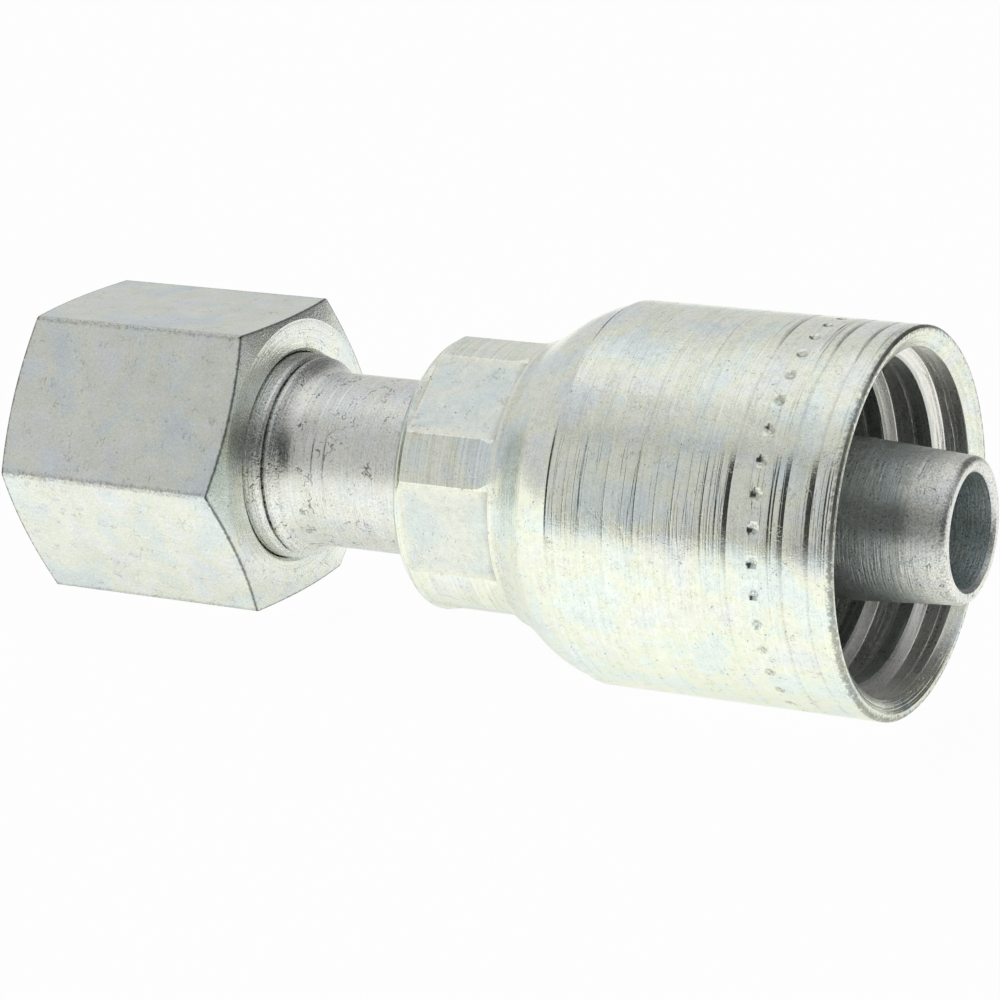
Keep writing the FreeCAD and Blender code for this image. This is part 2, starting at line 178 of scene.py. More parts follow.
# How many straight pieces go round a full turn, and how many wedges they are turned in
WEDGES = 10
AROUND_STEM = 240
AROUND_NUT = 300
AROUND_SHELL = WEDGES * DIMPLES


def rounded(corners):
    """A lathe outline as points. Each corner has a station, a radius and the radius of its rounding."""
    points = []
    for i, (station, radius, rounding) in enumerate(corners):
        corner = Vector((station, radius))
        if rounding == 0:
            points.append(corner)
            continue
        back = (Vector(corners[i - 1][:2]) - corner).normalized()
        ahead = (Vector(corners[(i + 1) % len(corners)][:2]) - corner).normalized()
        half = back.angle(ahead) / 2
        centre = corner + (back + ahead).normalized() * rounding / math.sin(half)
        start = (corner + back * rounding / math.tan(half) - centre).normalized()
        end = (corner + ahead * rounding / math.tan(half) - centre).normalized()
        sweep = start.angle(end)
        steps = max(2, round(sweep / math.radians(12)), round(sweep * rounding / 0.5))
        points += [centre + start.slerp(end, step / steps) * rounding for step in range(steps + 1)]
    return points


def lathe(points, around):
    """A closed outline turned full circle about the axis: one wedge is turned, then copied round."""
    turned = bmesh.new()
    verts = [turned.verts.new((point.x, 0, point.y)) for point in points]
    edges = [turned.edges.new(pair) for pair in zip(verts, verts[1:] + verts[:1])]
    wedge = math.tau / WEDGES
    bmesh.ops.spin(turned, geom=verts + edges, cent=(0, 0, 0), axis=(1, 0, 0), dvec=(0, 0, 0),
                   angle=wedge, steps=around // WEDGES)
    bmesh.ops.spin(turned, geom=turned.verts[:] + turned.edges[:] + turned.faces[:], cent=(0, 0, 0),
                   axis=(1, 0, 0), dvec=(0, 0, 0), angle=math.tau - wedge, steps=WEDGES - 1,
                   use_duplicate=True)
    bmesh.ops.remove_doubles(turned, verts=turned.verts, dist=0.0001)
    bmesh.ops.recalc_face_normals(turned, faces=turned.faces)
    return turned


def set_radius(vert, radius):
    """Move a vertex straight out from the axis, or in towards it."""
    scale = radius / math.hypot(vert.co.y, vert.co.z)
    vert.co.y *= scale
    vert.co.z *= scale


def finish_piece(name, turned, body, node, material):
    """Lay a finished piece in its place on the fitting and let it stand for its CAD node."""
    bmesh.ops.scale(turned, vec=(MM, MM, MM), verts=turned.verts)
    bmesh.ops.transform(turned, matrix=PLACE, verts=turned.verts)
    mesh = bpy.data.meshes.new(name)
    turned.to_mesh(mesh)
    turned.free()
    mesh.shade_smooth()
    mesh.set_sharp_from_angle(angle=math.radians(15))
    mesh.materials.append(material)
    piece = bpy.data.objects.new(name, mesh)
    bpy.context.scene.collection.objects.link(piece)
    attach(piece, body)
    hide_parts(node)


# Nut

def hexagon_radius(angle):
    """Distance from the axis to the side of the hexagon, with its corners a little rounded."""
    off = abs((angle + SIXTH / 2) % SIXTH - SIXTH / 2)
    slant = math.cos(SIXTH / 2)
    centre = (NUT_FLAT_R - NUT_CORNER_ROUND) / slant
    rounded_to = math.atan2(NUT_CORNER_ROUND * 0.5, centre + NUT_CORNER_ROUND * slant)
    if off < rounded_to:
        return centre * math.cos(off) + math.sqrt(NUT_CORNER_ROUND ** 2 - (centre * math.sin(off)) ** 2)
    return NUT_FLAT_R / math.cos(SIXTH / 2 - off)


def make_nut(material):
    """The hexagon nut: turned first, then its outside pushed out to the hexagon along the chamfers."""
    run = (NUT_FLAT_R - NUT_FACE_R) * NUT_CHAMFER
    shoulder = HEAD_BACK + HEAD_R - THREAD_MINOR_R + 0.1
    thread_root = THREAD_MINOR_R + THREAD_DEPTH
    turned = lathe(rounded([
        (0, NUT_FACE_R, 0),
        (run, NUT_FLAT_R, 0.1),
        (NUT_LENGTH - run, NUT_FLAT_R, 0.1),
        (NUT_LENGTH, NUT_FACE_R, 0),
        (NUT_LENGTH, NUT_BORE_R + NUT_BACK_EDGE, 0.1),
        (NUT_LENGTH - NUT_BACK_EDGE, NUT_BORE_R, 0.1),
        (shoulder + THREAD_MINOR_R - NUT_BORE_R, NUT_BORE_R, 0),
        (shoulder, THREAD_MINOR_R, 0),
        (shoulder, RELIEF_R, 0),
        (THREAD_END, RELIEF_R, 0),
        (THREAD_END, thread_root, 0),
        (0.3, thread_root, 0),
        (0, THREAD_MINOR_R + MOUTH_CHAMFER, 0.08),
    ]), AROUND_NUT)
    for vert in turned.verts:
        turn = math.atan2(vert.co.z, vert.co.y)
        # The mesh is drawn closer together at the six corners
        turn -= 0.9 * math.sin(6 * turn) / 6
        radius = math.hypot(vert.co.y, vert.co.z)
        if radius > NUT_FACE_R + 0.001:
            push = hexagon_radius(turn) - NUT_FLAT_R
            radius += push
            vert.co.x += math.copysign(push * NUT_CHAMFER, NUT_LENGTH / 2 - vert.co.x)
        vert.co.y = radius * math.cos(turn)
        vert.co.z = radius * math.sin(turn)
    wind_thread(turned, thread_root)
    finish_piece("threaded_nut", turned, "nut", "swivel_nut", material)


def wind_thread(turned, root):
    """The ridge of the internal thread, wound round the wall of the nut, with both ends run out."""
    crest = THREAD_PITCH / 8
    foot = crest + THREAD_DEPTH * math.tan(math.radians(30))
    section = [(-foot, root + 0.04), (-foot, root), (-crest, THREAD_MINOR_R), (crest, THREAD_MINOR_R),
               (foot, root), (foot, root + 0.04)]
    start = 0.5 + foot
    turns = (THREAD_END - foot - start) / THREAD_PITCH
    steps = round(96 * turns)
    ridge = bmesh.new()
    verts = [ridge.verts.new((start + along, 0, radius)) for along, radius in section]
    edges = [ridge.edges.new(pair) for pair in zip(verts, verts[1:] + verts[:1])]
    ridge.faces.new(verts)
    bmesh.ops.spin(ridge, geom=verts + edges, cent=(0, 0, 0), axis=(1, 0, 0), angle=math.tau * turns,
                   dvec=(THREAD_PITCH * turns / steps, 0, 0), steps=steps)
    ridge.verts.ensure_lookup_table()
    ridge.faces.new(list(ridge.verts)[-len(section):])
    for index, vert in enumerate(ridge.verts):
        step = index // len(section)
        radius = math.hypot(vert.co.y, vert.co.z)
        if radius < root - 0.001:
            set_radius(vert, root - (root - radius) * min(1, min(step, steps - step) / 40))
    bmesh.ops.recalc_face_normals(ridge, faces=ridge.faces)
    wound = bpy.data.meshes.new("thread_ridge")
    ridge.to_mesh(wound)
    ridge.free()
    turned.from_mesh(wound)
    bpy.data.meshes.remove(wound)


# Stem

def make_stem(material):
    """The turned stem: sealing head, swivel ring, neck, seat in the collar, nipple with barbs, bore."""
    def neck_mark(station):
        return [(station - 0.07, NECK_R, 0),
                (station + 0.05, NECK_R - 0.035, 0),
                (station + 0.09, NECK_R, 0)]

    cone_foot = RING_LIP_END + (RING_LIP_R - NECK_R) / math.tan(NECK_CONE)
    corners = [
        (HEAD_FRONT, BORE_R, 0.15),
        (HEAD_FRONT, HEAD_R, HEAD_EDGE),
        (HEAD_BACK, HEAD_R, 0),
        (HEAD_BACK + HEAD_R - RING_R, RING_R, 0),
        (RING_BACK, RING_R, RING_ROUND),
        (RING_BACK, RING_GROOVE_R, 0.04),
        (RING_LIP_START, RING_GROOVE_R, 0.05),
        (RING_LIP_START, RING_LIP_R, 0.12),
        (RING_LIP_END, RING_LIP_R, 0.1),
        (cone_foot, NECK_R, NECK_FILLET),
        *neck_mark(NUT_LENGTH + 5.5),
        *neck_mark(NUT_LENGTH + 6.6),
        (LOCK_START, NECK_R, 0),
        (LOCK_START, NECK_R - LOCK_DEPTH, 0),
        (LOCK_END, NECK_R - LOCK_DEPTH, 0),
        (LOCK_END, NECK_R, 0),
        (SEAT_END, NECK_R, 0.1),
        (SEAT_END, NIPPLE_R, 0),
    ]
    for barb in reversed(range(BARBS)):
        crest = LAST_BARB - BARB_PITCH * barb
        corners += [(crest - BARB_PITCH + BARB_LAND, NIPPLE_R, 0), (crest, NIPPLE_R - BARB_HEIGHT, 0),
                    (crest, NIPPLE_R, 0.05)]
    corners += [
        (TIP - NOSE_LENGTH, NIPPLE_R, 6),
        (TIP, NIPPLE_R - NOSE_STEP, 0.55),
        (TIP, BORE_R + TIP_CHAMFER, 0.06),
        (TIP - TIP_CHAMFER, BORE_R, 0.06),
    ]
    turned = lathe(rounded(corners), AROUND_STEM)
    finish_piece("turned_stem", turned, "fitting_body", "hose_stem", material)


# Shell

def barrel_outside():
    """The barrel's turned outside, from the shoulder's edge to the mouth, with its deeper tool marks."""
    def mark(depth, slope, cut):
        """A mark that far from the mouth: a slope of that width down to the cut, then a step back up."""
        start = MOUTH - depth - slope / 2
        end = MOUTH - depth + slope / 2
        return [(start - 0.02, BARREL_R, 0), (start + 0.02, BARREL_R - 0.02 / slope * cut, 0),
                (end, BARREL_R - cut, 0), (end + 0.05, BARREL_R, 0)]

    def broad_mark(depth):
        return mark(depth, 0.38, 0.145)

    edge = [(BARREL_END - BARREL_EDGE, BARREL_R - 0.17, 0), (BARREL_END, BARREL_R - 0.28, 0),
            (BARREL_END + 0.04, BARREL_R - 0.05, 0), (BARREL_END + 0.12, BARREL_R, 0)]
    dimple_rows = [(DIMPLE_STATION + DIMPLE_R * step / 4, BARREL_R, 0) for step in range(-4, 5)]
    return [*edge, *mark(22.7, 0.12, 0.02), *mark(21.3, 0.14, 0.03), *mark(19.2, 0.12, 0.022),
            *mark(16.6, 0.14, 0.03), *mark(14.9, 0.1, 0.018), *mark(13.4, 0.12, 0.025),
            *mark(10.9, 0.12, 0.03), *mark(10.35, 0.1, 0.02), *mark(9.75, 0.12, 0.035), *broad_mark(8.92),
            *dimple_rows, *mark(5.3, 0.14, 0.05), *mark(5.02, 0.12, 0.04), *broad_mark(4.27),
            *broad_mark(2.13), *mark(0.85, 0.12, 0.04), *mark(0.6, 0.1, 0.03)]


def tooth_corners():
    """The four teeth inside the barrel, from the mouth inwards; the last one runs on into the pocket."""
    corners = []
    for tooth in range(TEETH):
        crest = FIRST_CREST - TOOTH_PITCH * tooth
        corners += [(crest + TOOTH_CREST + TOOTH_FLANK, TOOTH_ROOT_R, 0.12),
                    (crest + TOOTH_CREST, TOOTH_CREST_R, 0.06),
                    (crest, TOOTH_CREST_R, 0.1),
                    (crest, TOOTH_ROOT_R, 0)]
    return corners[:-2]


def sink_dimples(turned):
    """The row of small round dimples near the mouth, with the mesh drawn closer together round each one."""
    for vert in turned.verts:
        radius = math.hypot(vert.co.y, vert.co.z)
        along = vert.co.x - DIMPLE_STATION
        if radius < BARREL_R - 0.01 or abs(along) > DIMPLE_R * 1.01:
            continue
        turn = (math.atan2(vert.co.z, vert.co.y) - FIRST_DIMPLE) * DIMPLES / math.tau
        off_turn = turn - round(turn)
        drawn = off_turn - 0.62 * math.sin(math.tau * off_turn) / math.tau
        angle = FIRST_DIMPLE + (round(turn) + drawn) * math.tau / DIMPLES
        off = math.hypot(along, drawn * math.tau / DIMPLES * BARREL_R) / DIMPLE_R
        sunk = radius - DIMPLE_DEPTH * max(0, 1 - off * off)
        vert.co.y = sunk * math.cos(angle)
        vert.co.z = sunk * math.sin(angle)


def mill_flats(turned):
    """Six wrench flats on the collar, with a sloping wall at the rim and another at the shoulder."""
    for station in (FLATS_START, FLATS_START + RIM_WALL, FLATS_END - FLAT_WALL, FLATS_END):
        everything = turned.verts[:] + turned.edges[:] + turned.faces[:]
        bmesh.ops.bisect_plane(turned, geom=everything, dist=0.0001, plane_co=(station, 0, 0),
                               plane_no=(1, 0, 0))
    for sixth in range(6):
        turn = FLATS_TURN + SIXTH * sixth
        outwards = Vector((0, math.cos(turn), math.sin(turn)))
        near = [face for vert in turned.verts
                if FLATS_START + 0.001 < vert.co.x < FLATS_END - 0.001
                and vert.co.dot(outwards) > NECK_R + 0.5
                for face in vert.link_faces]
        parts = {part for face in near for part in (face, *face.edges, *face.verts)}
        bmesh.ops.bisect_plane(turned, geom=list(parts), dist=0.0001, plane_co=outwards * FLAT_R,
                               plane_no=outwards)
        for vert in turned.verts:
            over = vert.co.dot(outwards) - FLAT_R
            if over > 0 and FLATS_START < vert.co.x < FLATS_END:
                ease = min(1, (vert.co.x - FLATS_START) / RIM_WALL, (FLATS_END - vert.co.x) / FLAT_WALL)
                vert.co -= outwards * over * ease


def make_shell(material):
    """The crimp shell: collar with flats, shoulder, barrel, and the teeth and pocket inside."""
    neck_side = rounded([
        (COLLAR_FRONT, NECK_R, 0),
        (COLLAR_FRONT, COLLAR_R - COLLAR_EDGE, 0.08),
        (COLLAR_FRONT + COLLAR_EDGE, COLLAR_R, 0.1),
        (FLATS_START, COLLAR_R, 0.05),
        (FLATS_START + RIM_WALL, LAND_R, 0.15),
        (COLLAR_END + (LAND_R - COLLAR_R) / SHOULDER_SLOPE, LAND_R, SHOULDER_FILLET),
        (SHOULDER_TOP, BARREL_R, SHOULDER_ROUND),
        (MOUTH, BARREL_R, 0),
    ])
    neck_side = [point for point in neck_side if point.x < BARREL_END - BARREL_EDGE]
    hose_side = rounded([
        *barrel_outside(),
        (MOUTH - MOUTH_EDGE, BARREL_R, 0.06),
        (MOUTH, BARREL_R - MOUTH_EDGE, 0.06),
        (MOUTH, BEVEL_R, 0.3),
        (MOUTH - BEVEL_DEPTH, LIP_R, 0.15),
        (LIP_END, LIP_R, 0.05),
        (LIP_END, TOOTH_ROOT_R, 0),
        *tooth_corners(),
        (BARREL_END - 0.5, TOOTH_CREST_R, 0),
        (POCKET_FLOOR, POCKET_R, 0),
        (POCKET_FLOOR, NECK_R, 0),
        (LOCK_END, NECK_R, 0),
        (LOCK_END, NECK_R - LOCK_DEPTH, 0),
        (LOCK_START, NECK_R - LOCK_DEPTH, 0),
        (LOCK_START, NECK_R, 0),
    ])
    turned = lathe(neck_side + hose_side, AROUND_SHELL)
    sink_dimples(turned)
    mill_flats(turned)
    finish_piece("grooved_shell", turned, "fitting_body", "crimp_shell", material)


# Materials

class Sum:
    """A socket that carries a number, on which plain maths adds Math nodes."""

    def __init__(self, surface, socket):
        self.surface = surface
        self.socket = socket

    def maths(self, operation, *values):
        made = self.surface.node("ShaderNodeMath", {"operation": operation}, dict(enumerate(values)))
        return made.value()

    def __add__(self, other):
        return self.maths("ADD", self, other)

    def __radd__(self, other):
        return self.maths("ADD", other, self)

    def __sub__(self, other):
        return self.maths("SUBTRACT", self, other)

    def __rsub__(self, other):
        return self.maths("SUBTRACT", other, self)

    def __mul__(self, other):
        return self.maths("MULTIPLY", self, other)

    def __rmul__(self, other):
        return self.maths("MULTIPLY", other, self)

    def __truediv__(self, other):
        return self.maths("DIVIDE", self, other)

    def __abs__(self):
        return self.maths("ABSOLUTE", self)

    def fraction(self):
        return self.maths("FRACT", self)

    def power(self, other):
        return self.maths("POWER", self, other)

    def least(self, other):
        return self.maths("MINIMUM", self, other)

    def most(self, other):
        return self.maths("MAXIMUM", self, other)

    def ramp(self, low, high, first=0, last=1):
        """First up to low, last from high on, and a smooth rise between."""
        made = self.surface.node("ShaderNodeMapRange", {"interpolation_type": "SMOOTHSTEP"},
                                 {"Value": self, "From Min": low, "From Max": high, "To Min": first,
                                  "To Max": last})
        return made.value()


class Made:
    """A node that has been added, with each output as a number or as a bare socket."""

    def __init__(self, surface, node):
        self.surface = surface
        self.node = node

    def value(self, output=0):
        return Sum(self.surface, self.node.outputs[output])

    def socket(self, output=0):
        return self.node.outputs[output]


class Surface:
    """A material or world whose nodes are added one by one."""

    def __init__(self, tree):
        self.tree = tree
        tree.nodes.clear()

    def node(self, kind, settings=None, inputs=None):
        made = self.tree.nodes.new(kind)
        for name, setting in (settings or {}).items():
            if name == "stops":
                self.set_stops(made.color_ramp, setting)
            else:
                setattr(made, name, setting)
        for name, value in (inputs or {}).items():
            socket = made.inputs[name]
            if isinstance(value, Sum):
                value = value.socket
            if isinstance(value, bpy.types.NodeSocket):
                self.tree.links.new(value, socket)
            else:
                socket.default_value = value
        return Made(self, made)

    def set_stops(self, ramp, stops):
        while len(ramp.elements) < len(stops):
            ramp.elements.new(0.5)
        for element, (position, colour) in zip(ramp.elements, stops):
            element.position = position
            element.color = (*colour, 1)

    def noise(self, vector, scale, detail=2.0, roughness=0.5):
        return self.node("ShaderNodeTexNoise", None, {"Vector": vector, "Scale": scale, "Detail": detail,
                                                      "Roughness": roughness}).value("Fac")

    def vector(self, x, y, z):
        return self.node("ShaderNodeCombineXYZ", None, {"X": x, "Y": y, "Z": z}).socket()

    def along(self, vector, way):
        """How far a vector reaches along another."""
        made = self.node("ShaderNodeVectorMath", {"operation": "DOT_PRODUCT"}, {0: vector, 1: way})
        return made.value("Value")

    def blend(self, factor, first, second, how="MIX"):
        made = self.node("ShaderNodeMix", {"data_type": "RGBA", "blend_type": how, "clamp_factor": True},
                         {0: factor, 6: first, 7: second})
        return made.socket(2)

    def tint(self, value, stops):
        return self.node("ShaderNodeValToRGB", {"stops": stops}, {"Fac": value}).socket("Color")


class PlatedSteel(Surface):
    """Bright zinc plate over turned or milled steel, in the fitting's own millimetres."""

    def __init__(self, name):
        self.material = bpy.data.materials.new(name)
        self.material.use_nodes = True
        super().__init__(self.material.node_tree)
        objects = self.node("ShaderNodeTexCoord").socket("Object")
        self.place = self.node("ShaderNodeMapping", {"vector_type": "TEXTURE"},
                               {"Vector": objects, "Location": ORIGIN, "Rotation": (0, -TILT, 0),
                                "Scale": (MM, MM, MM)}).socket()
        apart = self.node("ShaderNodeSeparateXYZ", None, {"Vector": self.place})
        self.station, self.across, self.up = (apart.value(axis) for axis in "XYZ")
        self.radius = (self.across * self.across + self.up * self.up).power(0.5)
        self.side = self.across / self.radius
        self.top = self.up / self.radius

    def turning(self, width, wander=0.6, detail=3.0):
        """Tool marks of a lathe: they change along the axis and hardly at all round it."""
        lines = self.vector(self.station / width, self.side * wander, self.top * wander)
        return self.noise(lines, 1.0, detail, 0.6) - 0.5

    def facing(self, rings, wander):
        """Tool marks of a facing cut: they change with the radius."""
        lines = self.vector(self.radius * rings, self.side * wander, self.top * wander)
        return self.noise(lines, 1.0, 3.0, 0.7) - 0.5

    def drawing(self, width):
        """Lines left along the bar that the steel was drawn as."""
        lines = self.vector(self.station / 12, self.across / width, self.up / width)
        return self.noise(lines, 1.0, 2.0) - 0.5

    def grain(self):
        """Fine speckle of the plating."""
        return self.noise(self.place, 1 / 0.17, 2.0, 0.7) - 0.5

    def clouds(self, size, detail=4.0):
        """Soft patches where the plating is more or less matt."""
        return self.noise(self.place, 1 / size, detail, 0.6) - 0.5

    def pits(self, size, rarity):
        """Scattered small dark pits of no fixed shape, as a mask."""
        spot = self.noise(self.place, 1 / size, 1.5, 0.5).ramp(rarity, rarity + 0.05)
        return spot * self.noise(self.place, 0.22 / size, 1.0).ramp(0.45, 0.6)

    def crackle(self, size):
        """Thin wandering lines in patches, where the plating has cracked and darkened."""
        thin = abs(self.clouds(size, 2.0)).ramp(0.0, 0.03, 1, 0)
        return thin * self.clouds(size * 1.7, 2.0).ramp(0.04, 0.12)

    def rainbow(self, size, strength):
        """Faint colours that the thin plating throws, from blue and green to cream and pink."""
        drift = self.noise(self.place, 1 / size, 4.0, 0.55)
        colours = self.tint(drift, [(0.34, (0.91, 0.96, 1.0)), (0.43, (0.95, 1.0, 0.99)),
                                    (0.51, (1.0, 1.0, 0.89)), (0.59, (1.0, 0.99, 0.96)),
                                    (0.68, (0.92, 0.96, 1.0))])
        return self.blend(strength, (1, 1, 1, 1), colours)

    def finish(self, colour, shade, height, roughness):
        """Join the parts to one metal shader. Shade darkens the colour, height is in fiftieths of a mm."""
        grey = self.node("ShaderNodeCombineColor", None, {"Red": shade, "Green": shade, "Blue": shade})
        painted = self.blend(1.0, colour, grey.socket(), "MULTIPLY")
        bumps = self.node("ShaderNodeBump", None,
                          {"Strength": 1.0, "Distance": MM / 50, "Height": height})
        steel = self.node("ShaderNodeBsdfPrincipled", None,
                          {"Base Color": painted, "Metallic": 1.0, "Roughness": roughness,
                           "Normal": bumps.socket()})
        self.node("ShaderNodeOutputMaterial", None, {"Surface": steel.socket()})
        return self.material


def nut_steel():
    """The nut's drawn and milled steel: matt speckle on the flats and dark worn edges."""
    steel = PlatedSteel("nut_plating")
    slant = math.cos(SIXTH / 2)
    sides = [abs(steel.up), abs(steel.across * slant + steel.up * 0.5),
             abs(steel.across * slant - steel.up * 0.5)]
    flat = sides[0].most(sides[1]).most(sides[2])
    least = sides[0].least(sides[1]).least(sides[2])
    second = sides[0] + sides[1] + sides[2] - flat - least
    on_flat = flat.ramp(NUT_FLAT_R - 0.08, NUT_FLAT_R - 0.03)
    from_end = (steel.station.least(NUT_LENGTH - steel.station)
                - (steel.radius - NUT_FACE_R) * NUT_CHAMFER)
    off_edge = from_end.most(NUT_FLAT_R - flat)
    fray = steel.clouds(0.36, 3.0)
    outside = steel.radius.ramp(NUT_FACE_R - 0.6, NUT_FACE_R)
    end_edge = (off_edge + fray * 0.35).ramp(0.04, 0.22, 1, 0) * outside
    corner_edge = (NUT_FLAT_R - second + fray * 0.9).ramp(0.1, 0.45, 1, 0) * on_flat
    washer = (1 - on_flat) * steel.radius.ramp(NUT_FACE_R - 0.3, NUT_FACE_R - 0.05, 1, 0)
    rings = steel.facing(6.0, 0.5)
    grain = steel.grain()
    cloud = steel.clouds(2.4)
    drawn = steel.drawing(0.3)
    pits = steel.pits(0.3, 0.69)
    crackle = steel.crackle(0.9)
    shade = (1.0 + grain * 0.6 + cloud * 0.25 + drawn * on_flat * 0.06 + rings * washer * 0.25 - pits * 0.3
             - crackle * 0.25 - end_edge * 0.65 - corner_edge * (0.25 + grain * 2.2))
    height = (grain * 1.3 + cloud * 1.2 + (rings + 0.5) * 2.4 * washer - pits * 1.2 - crackle * 0.8
              + drawn * on_flat * 0.3 - end_edge * fray * 2.0)
    roughness = 0.28 + grain * 0.3 + on_flat * 0.12 + end_edge * 0.15
    colour = steel.blend(1.0, (0.86, 0.885, 0.875, 1), steel.rainbow(5, 0.8), "MULTIPLY")
    return steel.finish(colour, shade, height, roughness)


def stem_steel():
    """The stem's turned steel: bright neck, slate nipple with fine lines, scuffed nose, dark bore."""
    steel = PlatedSteel("stem_plating")
    coarse = steel.turning(0.8)
    fine = steel.turning(0.16, 1.2)
    grain = steel.grain()
    cloud = steel.clouds(1.6)
    pits = steel.pits(0.26, 0.66)
    crackle = steel.crackle(1.1)
    nipple = steel.station.ramp(MOUTH - 30, MOUTH - 29)
    nose = (steel.station + cloud * 3 + fine * 3).ramp(TIP - 4.6, TIP - 2.2) * nipple
    inside = steel.radius.ramp(BORE_R + 0.05, BORE_R + 0.2, 1, 0)
    slate = nipple - nose
    neck = 1 - nipple
    lip = steel.station.ramp(RING_BACK + 1.0, RING_BACK + 1.6, 1, 0) * neck
    # Painted shade in the crease behind the swivel ring, with frayed edges
    off_groove = abs(steel.station - RING_BACK - 0.14) + abs(steel.radius - RING_R + RING_ROUND)
    groove_shade = (off_groove + cloud * 0.5).ramp(0.12, 0.36, 1, 0)
    off_tip = abs(steel.station - TIP + 0.35) + abs(steel.radius - NIPPLE_R + 0.7)
    tip_edge = (off_tip + grain * 1.4).ramp(0.1, 0.4, 1, 0)
    # The groove term paints shade into the crease behind the ring
    shade = (1.0 + grain * (0.9 + nose * 0.9 + lip * 1.1) + fine * (0.4 + lip * 0.7) + cloud * 0.24
             - pits * 0.35 - crackle * (neck * 0.6 + nose * 0.5) - slate * 0.17 - nose * 0.03
             - groove_shade * 0.6 - tip_edge * 0.15)
    height = (fine * (1.6 + slate * 1.6 + lip * 1.5) + coarse * 1.0 + grain * (1.0 + lip) + cloud * 0.9
              - pits - crackle * (neck * 1.3 + nose))
    roughness = 0.3 + grain * 0.3 + nose * 0.08 + inside * 0.05
    cold = steel.blend(slate.most(inside), (0.83, 0.84, 0.825, 1), (0.72, 0.77, 0.79, 1))
    colour = steel.blend(1.0, cold, steel.rainbow(4, 0.5), "MULTIPLY")
    return steel.finish(colour, shade, height, roughness)


def collar_flat(steel):
    """Masks of the collar's wrench flats and of the pale line round each of them, a painted highlight along their
    edges.
    """
    on_flat = (steel.radius.ramp(LAND_R - 0.05, LAND_R - 0.02, 1, 0)
               * steel.radius.ramp(NECK_R + 1, NECK_R + 1.1)
               * steel.station.ramp(FLATS_START + 0.1, FLATS_START + RIM_WALL)
               * steel.station.ramp(FLATS_END - 0.1, FLATS_END, 1, 0))
    # The pale line round each flat is a painted highlight
    rim = steel.radius.ramp(LAND_R - 0.3, LAND_R - 0.08).most(
        steel.station.ramp(FLATS_START + RIM_WALL, FLATS_START + RIM_WALL + 0.4, 1, 0))
    return on_flat, on_flat * rim


def collar_end(steel, on_flat):
    """Masks of the flats' foot and of the fillet after them, for painted shade, and of the pale strip just after
    the flats, a painted highlight.
    """
    after_flats = steel.station - FLATS_END
    foot = after_flats.ramp(-1.1, -0.2) * on_flat
    # A pale painted highlight on the strip where the flats end
    pale_strip_highlight = after_flats.ramp(-0.1, -0.05) * after_flats.ramp(0.3, 0.36, 1, 0)
    fillet = after_flats.ramp(0.3, 0.4) * after_flats.ramp(1.0, 1.8, 1, 0)
    return foot, pale_strip_highlight, fillet


def barrel_dents(steel, outside):
    """Masks of all that is sunk into the barrel's outside, and of the row of dimples alone, both for painted shade
    in these hollows.
    """
    sunk = steel.radius.ramp(BARREL_R - 0.12, BARREL_R - 0.015, 1, 0) * outside
    off_row = abs(steel.station - DIMPLE_STATION)
    return sunk, sunk * off_row.ramp(DIMPLE_R, DIMPLE_R + 0.1, 1, 0)


def shell_mouth(steel):
    """Masks of the worn edge round the mouth and of its face with the bevel inside it."""
    fray = steel.clouds(0.33, 3.0)
    off_edge = abs(steel.station - MOUTH) + abs(steel.radius - BARREL_R)
    worn = (off_edge + fray * 1.3).ramp(0.2, 0.5, 1, 0)
    face = (steel.station.ramp(MOUTH - 0.8, MOUTH - 0.7)
            * steel.radius.ramp(BARREL_R - 0.3, BARREL_R - 0.15, 1, 0))
    return worn, face


def hose_side_colour(steel):
    """Inside the barrel the tooth crests are painted darker grey as painted shade, but for their inner edges,
    which keep the pale colour as a painted highlight; the grooves keep the pale colour.
    """
    # Painted shade on the tooth crests, and a painted highlight on their inner edges
    crest = steel.radius.ramp(TOOTH_CREST_R + 0.1, TOOTH_CREST_R + 0.35, 1, 0)
    crest_edge_highlight = ((FIRST_CREST - steel.station) / TOOTH_PITCH).fraction().ramp(0.9, 0.94)
    return steel.blend(crest * (1 - crest_edge_highlight), (0.96, 0.95, 0.92, 1), (0.60, 0.63, 0.61, 1))


